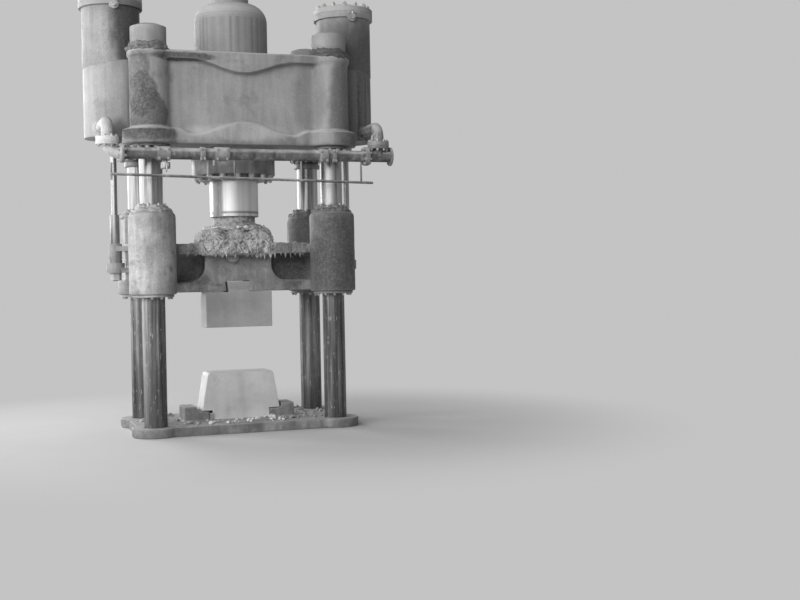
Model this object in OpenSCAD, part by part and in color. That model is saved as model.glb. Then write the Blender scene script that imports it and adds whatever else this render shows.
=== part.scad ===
// Four-column steam-hydraulic forging press.
// The origin is on the floor, in the middle between the four columns.
// +X is to the right of someone who faces the press, +Y is to its back.

/* [Columns] */
// Distance between column centres, left to right
pitch_x = 1950; // [1850:10:2150]
// Distance between column centres, front to back
pitch_y = 1000; // [960:10:1200]
// Diameter of a column
column_d = 240; // [200:5:260]

/* [Bed] */
// Height of the bed casting above the floor
bed_h = 100; // [80:5:160]
// How far the bed reaches past the column centres
bed_edge = 190; // [150:5:240]
// Diameter of the round foot under each column
bed_foot_d = 500; // [420:10:560]
// Width of the seat lugs below the sides of the lower tool
lug_w = 130; // [90:5:160]
// Height of these lugs above the bed
lug_h = 95; // [60:5:120]
// Width of the outer step of the seat lugs, beside the lower tool
lug_step_w = 150; // [80:5:180]
// Height of the outer step above the bed
lug_step_h = 150; // [100:5:170]

/* [Tools] */
// Width of the tools, left to right
tool_w = 730; // [560:10:800]
// Depth of the tools, front to back
tool_t = 340; // [260:10:380]
// Height of the top face of the lower tool
lower_tool_top = 610; // [500:10:680]
// Clear height between the tools with the crosshead as shown
daylight = 490; // [490:5:560]
// How far each side of the lower tool splays out at its foot
tool_splay = 65; // [0:5:90]
// Width of the dovetail at its narrow side
dovetail_w = 232; // [200:4:400]
// Height of the dovetail
dovetail_h = 115; // [80:5:130]
// How much wider the dovetail is at each side of its wide end
dovetail_flare = 15; // [8:1:40]
// Width of the slot beside the dovetail, for the upper key
slot_w = 18; // [14:1:40]
// Width of the key that holds the lower tool
key_w = 34; // [24:2:44]

/* [Crosshead] */
// Outer diameter of a guide sleeve
sleeve_d = 490; // [430:10:520]
// Height of the guide sleeves
sleeve_h = 864; // [780:4:900]
// Rounding of the top edge of a sleeve
sleeve_round = 55; // [20:5:70]
// Distance from a rear column's centre to the flat on the sleeve's outer side
rear_flat = 182; // [175:1:235]
// Height of the round foot below that flat
rear_foot_h = 158; // [80:2:300]
// Diameter of the round plug in the front of the beam
plug_d = 143; // [90:1:160]
// Height of the beam between the sleeves
beam_h = 515; // [480:5:600]
// Depth of the beam's web block
beam_t = 360; // [340:10:420]
// Depth of the beam's top flange
flange_t = 640; // [560:10:700]
// Height of the beam's top flange
flange_h = 105; // [90:5:170]
// Thickness of the wall that joins a front sleeve to a rear one
end_wall_t = 250; // [180:10:300]
// Depth of the cored pockets in the beam
pocket_depth = 130; // [60:5:140]
// Radius of the rounded lower corner of a pocket
pocket_round = 180; // [60:5:230]
// Thickness of the beam below the pockets
beam_sole = 110; // [90:5:140]

/* [Guides] */
// Outer diameter of a guide bush
bush_d = 290; // [280:5:320]
// Outer diameter of the gland ring on a sleeve
gland_d = 330; // [324:2:380]
// Height of the gland ring on a sleeve
gland_h = 60; // [40:5:80]
// Outer diameter of the wiper ring under a sleeve
wiper_d = 430; // [340:10:430]
// Height of the wiper ring under a sleeve
wiper_h = 26; // [15:1:40]

/* [Main ram] */
// Diameter of the ram
ram_d = 530; // [480:10:560]
// Diameter of the ram's reduced end
ram_foot_d = 450; // [380:10:470]
// Height of the reduced end above the beam
ram_foot_h = 305; // [200:5:320]
// Depth of the ram's socket in the beam
socket_depth = 90; // [60:5:120]
// Length of the ram above its reduced end
ram_l = 1560; // [1480:10:1570]
// Outer diameter of the main cylinder
main_d = 800; // [740:10:860]
// Height of the main cylinder's shoulder above the head
main_wall_h = 430; // [400:10:520]
// Height of the main cylinder's rounded top
dome_h = 200; // [150:10:240]
// Diameter of the neck on the main cylinder
neck_d = 400; // [320:10:440]
// Height of the neck
neck_h = 250; // [150:10:300]
// Diameter of the inlet bore in the neck
inlet_d = 140; // [80:5:180]
// Diameter of the inlet flange
inlet_flange_d = 520; // [460:10:560]
// Diameter of the flange that holds the main cylinder under the head
seat_flange_d = 920; // [880:10:960]
// Height of the main packing gland
main_gland_h = 240; // [200:10:260]
// Height of the narrow ring at the foot of the gland
gland_foot_h = 60; // [30:5:90]
// Outer diameter of that ring
gland_foot_d = 700; // [640:10:760]

/* [Head] */
// Height of the underside of the head
head_z = 3040; // [3000:10:3100]
// Height of the head casting
head_h = 980; // [940:10:1040]
// Diameter of a column boss
boss_d = 410; // [380:5:440]
// Diameter of the lip at the top of a boss
lip_d = 450; // [440:5:480]
// Height of the lip and of the head's top band at the bosses
lip_h = 70; // [50:5:90]
// Diameter of the collar at the foot of a boss
collar_d = 570; // [520:5:570]
// Height of the collar
collar_h = 160; // [120:5:180]
// Distance from the centre line to the head's front wall
wall_y = 560; // [520:10:600]
// Distance from the centre line to the head's side walls
wall_x = 985; // [960:5:985]
// How far the bands stand out from the front wall
band_out = 95; // [60:5:110]
// Depth of the top band at the middle of the head
top_band_mid = 215; // [110:5:240]
// Height of the bottom band where it is lowest
low_band_h = 105; // [80:5:120]
// Height of the bottom band at the middle of the head
low_band_mid = 240; // [150:5:260]
// Diameter of a column nut
nut_d = 374; // [372:2:400]
// Height of a column nut
nut_h = 265; // [220:5:320]
// Height of the bevel at the top of a column nut
nut_bevel_h = 24; // [10:2:60]
// How far the bevel goes in at the top
nut_bevel_w = 60; // [10:2:60]
// Diameter of the check ring on a column under the head
ring_d = 300; // [280:5:340]
// Diameter of the flange above the check ring
ring_flange_d = 410; // [380:5:440]

/* [Lift cylinders] */
// Distance from the centre line to a lift rod
lift_x = 1300; // [1300:5:1340]
// Outer diameter of a lift cylinder
lift_d = 610; // [580:5:620]
// Bore of a lift cylinder
lift_bore = 480; // [420:5:500]
// Height of the underside of a lift cylinder
lift_z = 3150; // [3120:5:3180]
// Height of the joint between saddle and cylinder
lift_joint_z = 3940; // [3900:5:3960]
// How much lower this joint is on its outer side
joint_fall = 104; // [20:4:120]
// Height of the top of a lift cylinder
lift_top_z = 4600; // [4560:5:4700]
// Diameter of the flange and cover of a lift cylinder
lift_flange_d = 670; // [650:5:700]
// Thickness of the cover of a lift cylinder
cover_h = 60; // [40:5:80]
// Diameter of a lift rod
rod_d = 64; // [50:1:70]
// Diameter of the sleeve on the lower end of a lift rod
rod_sleeve_d = 98; // [86:2:110]
// Height of the sleeve on the lower end of a lift rod
rod_sleeve_h = 310; // [200:10:330]
// Diameter of the packing gland of a lift cylinder
lift_gland_d = 230; // [200:5:260]
// Height of the packing gland of a lift cylinder
lift_gland_h = 90; // [60:5:110]
// Height of a lift piston
piston_h = 120; // [80:5:160]
// Diameter of the barrel that a lift rod pulls on
barrel_d = 138; // [120:2:150]
// Diameter of the flange at the foot of the barrel
barrel_flange_d = 194; // [160:2:210]
// Thickness of the arms that carry the barrel
arm_h = 54; // [40:2:70]
// Width of the arms
arm_w = 170; // [120:5:200]

/* [Steam and drain pipes] */
// Diameter of the steam pipe
pipe_d = 120; // [90:5:130]
// Wall thickness of the steam pipe
pipe_wall = 10; // [6:1:15]
// Distance from the centre line to the steam pipe
pipe_y = 810; // [805:5:860]
// Height of the steam pipe
pipe_z = 2920; // [2900:5:2930]
// Distance from the centre line to the left steam branch
left_branch_x = 1445; // [1430:5:1480]
// Distance from the centre line to the right steam branch
right_branch_x = 1425; // [1420:5:1480]
// Distance from the right branch to each end of its tee
tee_reach = 142; // [132:2:150]
// Bend radius of the steam elbows
elbow_r = 115; // [95:5:115]
// Diameter of the flanges on the steam pipe
pipe_flange_d = 200; // [180:5:220]
// Thickness of one flange
pipe_flange_h = 22; // [16:1:28]
// Thickness of each flange below and above the branches
branch_flange_h = 40; // [20:2:44]
// Bolt circle of the flanges
flange_pcd = 164; // [156:2:170]
// Diameter of the flange bolt holes
flange_hole_d = 18; // [12:1:20]
// Number of bolts in a flange
flange_holes = 8; // [6:1:10]
// Diameter of the drain pipe
drain_d = 28; // [22:1:36]
// Height of the drain pipe at its left end
drain_z = 2706; // [2690:2:2720]
// How far the drain pipe falls to the right
drain_fall = 70; // [30:5:80]

/* [Hidden] */
$fn = 96;

// Clearance of a part that is fitted and stays put
fit = 0.3;
// Clearance round a sliding rod, ram or column
slide = 0.5;
// Overlap that makes a cut run through a face
past = 1;

sides = [-1, 1];
upper_tool_z = lower_tool_top + daylight;
shoulder_gap = 5;
beam_z = 1490;
beam_top = beam_z + beam_h;
upper_tool_h = beam_z - shoulder_gap - upper_tool_z;
sleeve_z = beam_z - 14;
sleeve_top = sleeve_z + sleeve_h;
ram_step_z = beam_top + ram_foot_h;
head_top = head_z + head_h;
nut_top = head_top + nut_h;
seat_flange_h = 100;
gland_z = head_z - seat_flange_h - main_gland_h;
main_gland_d = seat_flange_d - 10;
dome_z = head_top + main_wall_h;
neck_z = dome_z + dome_h;
neck_top = neck_z + neck_h;
// Width of the lower tool's foot between the seat lugs
lower_foot_w = tool_w - 100;
lower_body_z = bed_h + lug_h + shoulder_gap;
run_left = left_branch_x - elbow_r - pipe_flange_h;
run_right = right_branch_x - tee_reach;
saddle_d = lift_d - 10;
pipe_bore = pipe_d - 2 * pipe_wall;
branch_z = lift_z + 90;
branch_joint_z = pipe_z + 120;
branch_flange_d = pipe_flange_d + 30;
branch_pcd = flange_pcd + 24;
clamp_d = pipe_d + 26;
// Middle and length of each clamp ring on the steam pipe
clamps = [[-890, 140], [-490, 56], [-290, 156], [802, 100], [918, 44]];
cock_x = -869;
drain_left = left_branch_x - 35;
drain_right = right_branch_x - 79;
// Places of the thin pipes and of the thick one between drain pipe and steam pipe
riser_xs = [-155, 560, 1225];
drop_x = -433;
lug_low_z = beam_z + 225;
lug_flange_h = 105;
lug_top = beam_z + 536;
piston_z = lift_joint_z - 70;
steel = "dimgray";
iron = "gray";
bright = "silver";

module mirrored(side) {
    if (side < 0) mirror([1, 0, 0]) children(); else children();
}

module at_column(sx, sy) {
    translate([sx * pitch_x / 2, sy * pitch_y / 2, 0]) children();
}

module at_columns() {
    for (sx = sides, sy = sides) at_column(sx, sy) children();
}

module ring(od, id, h) {
    difference() {
        cylinder(d = od, h = h);
        translate([0, 0, -past]) cylinder(d = id, h = h + 2 * past);
    }
}

// A straight pipe that runs up from the origin
module tube(d, wall, h) {
    ring(d, d - 2 * wall, h);
}

// A rod with a bevelled top edge
module topped_rod(d, h, bevel) {
    cylinder(d = d, h = h - bevel);
    translate([0, 0, h - bevel]) cylinder(d1 = d, d2 = d - 2 * bevel, h = bevel);
}

// Bed

module bed_casting() {
    color(iron) difference() {
        union() {
            linear_extrude(bed_h) {
                square([pitch_x, pitch_y + 2 * bed_edge], center = true);
                square([pitch_x + 2 * bed_edge, pitch_y], center = true);
            }
            at_columns() cylinder(d = bed_foot_d, h = bed_h);
            for (s = sides) mirrored(s) translate([lower_foot_w / 2 + (s < 0 ? key_w : 0), 0, bed_h - past]) {
                translate([0, -tool_t / 2, 0]) cube([lug_w, tool_t, lug_h + past]);
                translate([lug_w - past, -tool_t / 2, 0]) cube([lug_step_w, tool_t, lug_step_h + past]);
            }
        }
        at_columns() translate([0, 0, -past]) cylinder(d = column_d + 2 * fit, h = bed_h + 2 * past);
    }
}

module lower_tool() {
    half = tool_w / 2;
    foot = lower_foot_w / 2 - fit;
    corner = 30;
    color(steel) translate([0, tool_t / 2, 0]) rotate([90, 0, 0]) linear_extrude(tool_t)
        polygon([
            [-foot, bed_h], [foot, bed_h], [foot, lower_body_z],
            [half + tool_splay, lower_body_z], [half, lower_tool_top - corner],
            [half - corner / 3, lower_tool_top - corner / 3], [half - corner, lower_tool_top],
            [corner - half, lower_tool_top], [corner / 3 - half, lower_tool_top - corner / 3],
            [-half, lower_tool_top - corner], [-half - tool_splay, lower_body_z], [-foot, lower_body_z]
        ]);
}

module lower_tool_key() {
    ends_out = 30;
    top_drop = 20;
    color(bright) translate([-lower_foot_w / 2 - key_w + fit, -tool_t / 2 - ends_out, bed_h])
        cube([key_w - 2 * fit, tool_t + 2 * ends_out, lug_h - top_drop]);
}

// Columns

module column(sx, sy) {
    bevel = 4;
    color(bright) at_column(sx, sy) topped_rod(column_d, nut_top + bevel, bevel);
}

module column_nut(sx, sy) {
    color(steel) at_column(sx, sy) translate([0, 0, head_top]) difference() {
        union() {
            cylinder(d = nut_d, h = nut_h - nut_bevel_h);
            translate([0, 0, nut_h - nut_bevel_h])
                cylinder(d1 = nut_d, d2 = nut_d - 2 * nut_bevel_w, h = nut_bevel_h);
        }
        translate([0, 0, -past]) cylinder(d = column_d + 2 * fit, h = nut_h + 2 * past);
    }
}

module column_check_rings() {
    ring_h = 50;
    waist_h = 70;
    flange_h = 25;
    waist_d = (column_d + ring_d) / 2;
    h = ring_h + waist_h + flange_h;
    color(steel) at_columns() translate([0, 0, head_z - h]) difference() {
        union() {
            cylinder(d = ring_d, h = ring_h);
            translate([0, 0, ring_h]) cylinder(d = waist_d, h = waist_h + past);
            translate([0, 0, ring_h + waist_h]) cylinder(d = ring_flange_d, h = flange_h);
        }
        translate([0, 0, -past]) cylinder(d = column_d + 2 * fit, h = h + 2 * past);
    }
}

// Head

// A share that eases from 0 at one end to 1 at the other
function ease(x, from, to) = (1 - cos(180 * max(0, min(1, (x - from) / (to - from))))) / 2;

// Height of the bottom band's upper edge at a distance from the middle
function low_band(x) = let (reach = pitch_x * band_reach)
    low_band_h + (low_band_mid - low_band_h) * ease(abs(x), reach, 0)
        + (collar_h - low_band_h) * ease(abs(x), reach, (pitch_x - collar_d) / 2);

// Depth of the top band at a distance from the middle
function top_band(x) = top_band_end + (top_band_mid - top_band_end) * ease(abs(x), pitch_x * band_reach, 0);

// How far the bands' curves reach from the middle, as a share of the column pitch
band_reach = 0.285;
top_band_end = lip_h + 20;
band_steps = 40;
band_xs = [for (i = [0 : band_steps]) pitch_x * (i / band_steps - 0.5)];

module head_bands() {
    out = wall_y + band_out;
    translate([0, out, 0]) rotate([90, 0, 0]) linear_extrude(2 * out) {
        polygon(concat([[-pitch_x / 2, head_z], [pitch_x / 2, head_z]],
            [for (i = [band_steps : -1 : 0]) [band_xs[i], head_z + low_band(band_xs[i])]]));
        polygon(concat([[pitch_x / 2, head_top], [-pitch_x / 2, head_top]],
            [for (x = band_xs) [x, head_top - top_band(x)]]));
    }
}

module head_casting() {
    lip_bevel = 20;
    color(iron) difference() {
        union() {
            translate([-wall_x, -pitch_y / 2, head_z]) cube([2 * wall_x, pitch_y, head_h]);
            translate([-pitch_x / 2, -wall_y, head_z]) cube([pitch_x, 2 * wall_y, head_h]);
            head_bands();
            at_columns() {
                translate([0, 0, head_z]) cylinder(d = boss_d, h = head_h);
                translate([0, 0, head_z]) cylinder(d = collar_d, h = collar_h);
                translate([0, 0, head_top - lip_h]) cylinder(d = lip_d, h = lip_h - lip_bevel);
                translate([0, 0, head_top - lip_bevel])
                    cylinder(d1 = lip_d, d2 = lip_d - 2 * lip_bevel, h = lip_bevel);
            }
        }
        at_columns() translate([0, 0, head_z - past])
            cylinder(d = column_d + 2 * fit, h = head_h + 2 * past);
        translate([0, 0, head_z - past]) cylinder(d = main_d + 2 * fit, h = head_h + 2 * past);
    }
}

// Main cylinder

module main_cylinder() {
    ram_room = 20;
    crown_drop = 40;
    crown_slope = 1 / 3;
    bore_r = ram_d / 2 + ram_room;
    crown_z = dome_z - crown_drop;
    color(iron) rotate_extrude() polygon(concat(
        [[bore_r, gland_z + main_gland_h], [seat_flange_d / 2, gland_z + main_gland_h],
         [seat_flange_d / 2, head_z], [main_d / 2, head_z]],
        [for (a = [0 : 10 : 90])
            [neck_d / 2 + (main_d - neck_d) / 2 * cos(a), dome_z + dome_h * sin(a)]],
        [[neck_d / 2, neck_top], [inlet_d / 2, neck_top], [inlet_d / 2, crown_z],
         [bore_r, crown_z - (bore_r - inlet_d / 2) * crown_slope]]
    ));
}

module main_inlet_flange() {
    flange_h = 55;
    holes = 12;
    hole_d = 26;
    color(steel) translate([0, 0, neck_top - flange_h]) difference() {
        cylinder(d = inlet_flange_d, h = flange_h);
        translate([0, 0, -past]) cylinder(d = neck_d + 2 * fit, h = flange_h + 2 * past);
        for (i = [1 : holes]) rotate(360 / holes * i) translate([(inlet_flange_d + neck_d) / 4, 0, -past])
            cylinder(d = hole_d, h = flange_h + 2 * past);
    }
}

module main_gland() {
    color(steel) translate([0, 0, gland_z]) difference() {
        union() {
            cylinder(d = gland_foot_d, h = gland_foot_h + past);
            translate([0, 0, gland_foot_h]) cylinder(d = main_gland_d, h = main_gland_h - gland_foot_h);
        }
        translate([0, 0, -past]) cylinder(d = ram_d + 2 * slide, h = main_gland_h + 2 * past);
    }
}

// Lift cylinders

// The space above the sloping joint between saddle and cylinder, or below it
module joint_side(up) {
    size = 2 * lift_d;
    translate([lift_x, 0, lift_joint_z]) rotate([0, atan(joint_fall / lift_d), 0])
        translate([-size / 2, -size / 2, up ? 0 : -size]) cube(size);
}

module lift_saddle(side) {
    floor_h = 60;
    pad_w = 400;
    pad_inset = 40;
    rod_room = 5;
    color(iron) mirrored(side) difference() {
        union() {
            translate([lift_x, 0, lift_z]) cylinder(d = saddle_d, h = lift_joint_z + joint_fall - lift_z);
            translate([wall_x + fit, -pad_w / 2, lift_z + pad_inset])
                cube([lift_x - wall_x - fit, pad_w, lift_joint_z - lift_z - 2 * pad_inset]);
        }
        joint_side(true);
        translate([lift_x, 0, lift_z + floor_h]) cylinder(d = lift_bore, h = lift_top_z - lift_z);
        translate([lift_x, 0, lift_z - past]) cylinder(d = rod_d + 2 * rod_room, h = floor_h + 2 * past);
        translate([side < 0 ? left_branch_x : right_branch_x, -lift_d / 2, branch_z]) rotate([-90, 0, 0])
            cylinder(d = pipe_bore, h = lift_d / 2);
    }
}

module lift_cylinder(side) {
    flange_h = 70;
    foot_z = lift_joint_z - joint_fall;
    h = lift_top_z - foot_z;
    color(iron) mirrored(side) difference() {
        translate([lift_x, 0, foot_z]) difference() {
            union() {
                cylinder(d = lift_d, h = h);
                translate([0, 0, h - flange_h]) cylinder(d = lift_flange_d, h = flange_h);
            }
            translate([0, 0, -past]) cylinder(d = lift_bore, h = h + 2 * past);
        }
        joint_side(false);
    }
}

module lift_cover(side) {
    boss_h = 50;
    boss_d = lift_flange_d * 0.45;
    bevel = 8;
    color(steel) mirrored(side) translate([lift_x, 0, lift_top_z]) {
        topped_rod(lift_flange_d, cover_h, bevel);
        translate([0, 0, cover_h - past]) topped_rod(boss_d, boss_h + past, bevel);
    }
}

module lift_gland(side) {
    lip = 30;
    nose_d = lift_gland_d * 0.62;
    color(steel) mirrored(side) translate([lift_x, 0, lift_z - lift_gland_h]) difference() {
        union() {
            cylinder(d = nose_d, h = lift_gland_h);
            translate([0, 0, lift_gland_h - lip]) cylinder(d = lift_gland_d, h = lip);
        }
        translate([0, 0, -past]) cylinder(d = rod_d + 2 * slide, h = lift_gland_h + 2 * past);
    }
}

// Steam and drain pipes

// A flange with bolt holes, flat on the origin plane
module flange(d, pcd, h) {
    difference() {
        cylinder(d = d, h = h);
        translate([0, 0, -past]) cylinder(d = pipe_bore, h = h + 2 * past);
        for (i = [0 : flange_holes - 1]) rotate(360 / flange_holes * (i + 0.5))
            translate([pcd / 2, 0, -past]) cylinder(d = flange_hole_d, h = h + 2 * past);
    }
}

module pipe_flange() {
    flange(pipe_flange_d, flange_pcd, pipe_flange_h);
}

module branch_flange() {
    flange(branch_flange_d, branch_pcd, branch_flange_h);
}

// A quarter bend from the origin, which starts up and ends along +X
module elbow() {
    translate([elbow_r, 0, 0]) rotate([90, 0, 0]) mirror([1, 0, 0])
        rotate_extrude(angle = 90) translate([elbow_r, 0])
            difference() {
                circle(d = pipe_d);
                circle(d = pipe_bore);
            }
}

module steam_pipe() {
    run = run_left + run_right;
    color(iron) {
        translate([-run_left, -pipe_y, pipe_z]) rotate([0, 90, 0]) {
            tube(pipe_d, pipe_wall, run);
            pipe_flange();
            translate([0, 0, run - pipe_flange_h]) pipe_flange();
        }
        for (c = clamps) translate([c[0] - c[1] / 2, -pipe_y, pipe_z]) rotate([0, 90, 0])
            ring(clamp_d, pipe_d - past, c[1]);
    }
}

module steam_elbow_left() {
    stub = branch_joint_z - pipe_z - elbow_r;
    color(iron) translate([-left_branch_x, -pipe_y, pipe_z]) {
        translate([0, 0, elbow_r]) {
            mirror([0, 0, 1]) elbow();
            tube(pipe_d, pipe_wall, stub);
            translate([0, 0, stub - branch_flange_h]) branch_flange();
        }
        translate([elbow_r, 0, 0]) rotate([0, 90, 0]) pipe_flange();
    }
}

module steam_tee_right() {
    rise = branch_joint_z - pipe_z;
    color(iron) translate([right_branch_x, -pipe_y, pipe_z]) difference() {
        union() {
            translate([-tee_reach, 0, 0]) rotate([0, 90, 0]) {
                cylinder(d = pipe_d, h = 2 * tee_reach);
                pipe_flange();
                translate([0, 0, 2 * tee_reach - pipe_flange_h]) pipe_flange();
            }
            cylinder(d = pipe_d, h = rise);
            translate([0, 0, rise - branch_flange_h]) branch_flange();
        }
        translate([-tee_reach - past, 0, 0]) rotate([0, 90, 0]) cylinder(d = pipe_bore, h = 2 * (tee_reach + past));
        cylinder(d = pipe_bore, h = rise + past);
    }
}

module steam_branch(side) {
    x = side < 0 ? left_branch_x : right_branch_x;
    rise = branch_z - elbow_r - branch_joint_z;
    saddle_r = saddle_d / 2;
    wall_at = sqrt(pow(saddle_r, 2) - pow(x - lift_x, 2));
    into_wall = 12;
    leg = pipe_y - elbow_r - wall_at + into_wall;
    pad_h = 30;
    pad_d = pipe_d + 30;
    color(iron) mirrored(side) difference() {
        translate([x, -pipe_y, branch_joint_z]) {
            branch_flange();
            tube(pipe_d, pipe_wall, rise);
            translate([0, 0, rise]) rotate(90) elbow();
            translate([0, elbow_r, rise + elbow_r]) rotate([-90, 0, 0]) tube(pipe_d, pipe_wall, leg);
            translate([0, elbow_r + leg - pad_h, rise + elbow_r]) rotate([-90, 0, 0])
                ring(pad_d, pipe_bore, pad_h);
        }
        translate([lift_x, 0, lift_z - past]) cylinder(r = saddle_r + fit, h = lift_top_z - lift_z);
    }
}

// Height of the drain pipe's centre line
function drain_at(x) = drain_z - drain_fall * (x + drain_left) / (drain_left + drain_right);

// A small pipe from the drain pipe up into the steam pipe's wall
module drain_riser(x, d) {
    translate([x, -pipe_y, drain_at(x)]) cylinder(d = d, h = pipe_z - pipe_d / 2 - fit - drain_at(x));
}

module drain_pipe() {
    bend_r = 45;
    thin_d = drain_d - 8;
    tail = 60;
    run = drain_left + drain_right;
    $fn = 32;
    color(bright) difference() {
        union() {
            translate([-drain_left, -pipe_y, drain_z]) {
                rotate([0, 90 + atan(drain_fall / run), 0])
                    cylinder(d = drain_d, h = sqrt(pow(run, 2) + pow(drain_fall, 2)));
                sphere(d = drain_d);
                translate([0, 0, -tail]) cylinder(d = thin_d, h = tail + elbow_r);
            }
            translate([drain_right, -pipe_y, drain_at(drain_right)]) sphere(d = drain_d);
            for (x = riser_xs) drain_riser(x, thin_d);
            translate([drop_x + bend_r, -pipe_y, drain_at(drop_x) + bend_r]) {
                rotate([90, 180, 0]) rotate_extrude(angle = 90) translate([bend_r, 0]) circle(d = drain_d);
                translate([-bend_r, 0, 0])
                    cylinder(d = drain_d, h = pipe_z - pipe_d / 2 - fit - drain_at(drop_x) - bend_r);
            }
        }
        translate([-left_branch_x + elbow_r, -pipe_y, pipe_z + elbow_r]) rotate([90, 0, 0])
            rotate_extrude() translate([elbow_r, 0]) circle(d = pipe_d + 2 * fit);
    }
}

module drain_cock() {
    body_d = 98;
    body_h = 64;
    neck_d = 44;
    neck_h = 17;
    spindle_d = 26;
    spindle_l = 80;
    color(bright) translate([cock_x, -pipe_y, pipe_z - clamp_d / 2 - fit - neck_h - body_h]) {
        cylinder(d = body_d, h = body_h);
        translate([0, 0, body_h - past]) cylinder(d = neck_d, h = neck_h + past);
        translate([0, 0, body_h / 2]) rotate([90, 0, 0]) cylinder(d = spindle_d, h = spindle_l);
    }
}

// Crosshead

// The sleeve's outline, with a rounded top edge
module sleeve() {
    r = sleeve_d / 2;
    rotate_extrude() polygon(concat(
        [[0, 0], [r, 0]],
        [for (a = [0 : 15 : 90])
            [r - sleeve_round * (1 - cos(a)), sleeve_h - sleeve_round * (1 - sin(a))]],
        [[0, sleeve_h]]
    ));
}

// A pocket with its lower inner corner rounded, from the block to the sleeve
module pocket_outline(w, h) {
    difference() {
        square([w, h]);
        difference() {
            translate([-past, -past]) square(pocket_round + past);
            translate([pocket_round, pocket_round]) circle(pocket_round);
        }
    }
}

module dovetail_outline(w, h, flare) {
    polygon([[-w / 2, 0], [w / 2, 0], [w / 2 + flare, h], [-w / 2 - flare, h]]);
}

module crosshead_casting() {
    block = tool_w / 2 + 5;
    pocket_w = pitch_x / 2 - block;
    pocket_h = beam_h - beam_sole - flange_h;
    plug_out = 70;
    plug_drop = 22;
    color(iron) difference() {
        union() {
            at_columns() translate([0, 0, sleeve_z]) sleeve();
            translate([-pitch_x / 2, -beam_t / 2, beam_z]) cube([pitch_x, beam_t, beam_h]);
            translate([-pitch_x / 2, -flange_t / 2, beam_top - flange_h]) cube([pitch_x, flange_t, flange_h]);
            for (s = sides) translate([s * pitch_x / 2 - end_wall_t / 2, -pitch_y / 2, beam_z])
                cube([end_wall_t, pitch_y, beam_h]);
            translate([-plug_d / 2, -beam_t / 2 - plug_out, beam_top - flange_h - plug_drop]) rotate([-90, 0, 0])
                cylinder(d = plug_d, h = plug_out + past);
        }
        for (s = sides) mirrored(s)
            translate([pitch_x / 2 + rear_flat, pitch_y / 2 - sleeve_d / 2, sleeve_z + rear_foot_h])
                cube([sleeve_d, sleeve_d, sleeve_h]);
        at_columns() translate([0, 0, sleeve_z - past])
            cylinder(d = bush_d + 2 * fit, h = sleeve_h + 2 * past);
        for (sx = sides, sy = sides) scale([sx, sy, 1])
            translate([block, beam_t / 2 + past, beam_z + beam_sole]) rotate([90, 0, 0])
                linear_extrude(pocket_depth + past) pocket_outline(pocket_w, pocket_h);
        translate([0, 0, beam_top - socket_depth]) cylinder(d = ram_foot_d + 2 * fit, h = socket_depth + past);
        translate([0, beam_t / 2 + past, beam_z]) rotate([90, 0, 0]) linear_extrude(beam_t + 2 * past) {
            translate([0, -past]) dovetail_outline(dovetail_w + 2 * fit, dovetail_h + past, dovetail_flare);
            translate([-slot_w, -past]) dovetail_outline(dovetail_w + 2 * fit, dovetail_h + past, dovetail_flare);
        }
    }
}

module guide_bushes() {
    color("goldenrod") at_columns() translate([0, 0, sleeve_z])
        ring(bush_d, column_d + 2 * slide, sleeve_h);
}

module guide_glands() {
    color(steel) at_columns() translate([0, 0, sleeve_top])
        ring(gland_d, column_d + 2 * slide, gland_h);
}

module guide_wipers() {
    color(steel) at_columns() translate([0, 0, sleeve_z - wiper_h])
        ring(wiper_d, column_d + 2 * slide, wiper_h);
}

module main_ram() {
    bevel = 20;
    color(bright) {
        translate([0, 0, ram_step_z]) topped_rod(ram_d, ram_l, bevel);
        translate([0, 0, beam_top - socket_depth]) cylinder(d = ram_foot_d, h = socket_depth + ram_foot_h + past);
    }
}

module upper_tool() {
    tenon_h = dovetail_h - shoulder_gap;
    tenon_flare = dovetail_flare * tenon_h / dovetail_h;
    color(steel) {
        translate([-tool_w / 2, -tool_t / 2, upper_tool_z]) cube([tool_w, tool_t, upper_tool_h]);
        translate([-dovetail_w / 2, -tool_t / 2, beam_z - shoulder_gap - past])
            cube([dovetail_w, tool_t, shoulder_gap + 2 * past]);
        translate([0, tool_t / 2, beam_z]) rotate([90, 0, 0]) linear_extrude(tool_t)
            dovetail_outline(dovetail_w, tenon_h, tenon_flare);
    }
}

module upper_tool_key() {
    recess = 90;
    foot = 2;
    top_drop = 8;
    key_h = dovetail_h - top_drop;
    lean = dovetail_flare * key_h / dovetail_h;
    w = slot_w - 2 * fit;
    color(bright) translate([-dovetail_w / 2 - slot_w, beam_t / 2 - recess, beam_z]) rotate([90, 0, 0])
        linear_extrude(beam_t - 2 * recess)
            polygon([[0, foot], [w, foot], [w - lean, key_h], [-lean, key_h]]);
}

module lift_rod(side) {
    nut_drop = 86;
    color(bright) mirrored(side) translate([lift_x, 0, 0]) {
        translate([0, 0, lug_low_z - nut_drop]) cylinder(d = rod_d, h = piston_z - lug_low_z + nut_drop + past);
        translate([0, 0, lug_top]) cylinder(d = rod_sleeve_d, h = rod_sleeve_h);
        translate([0, 0, piston_z]) cylinder(d = lift_bore - 2 * slide, h = piston_h);
    }
}

module lift_lug(side) {
    reach = lift_x - (pitch_x + end_wall_t) / 2 - fit;
    top_room = 25;
    arm_zs = [lug_low_z, lug_top - top_room - arm_h];
    color(iron) mirrored(side) difference() {
        union() {
            translate([lift_x, 0, lug_low_z]) cylinder(d = barrel_d, h = lug_top - lug_low_z);
            translate([lift_x, 0, lug_low_z]) cylinder(d = barrel_flange_d, h = lug_flange_h);
            for (z = arm_zs) translate([lift_x - reach, -arm_w / 2, z]) cube([reach, arm_w, arm_h]);
        }
        translate([lift_x, 0, lug_low_z - past]) cylinder(d = rod_d + 2 * fit, h = lug_top);
    }
}

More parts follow.
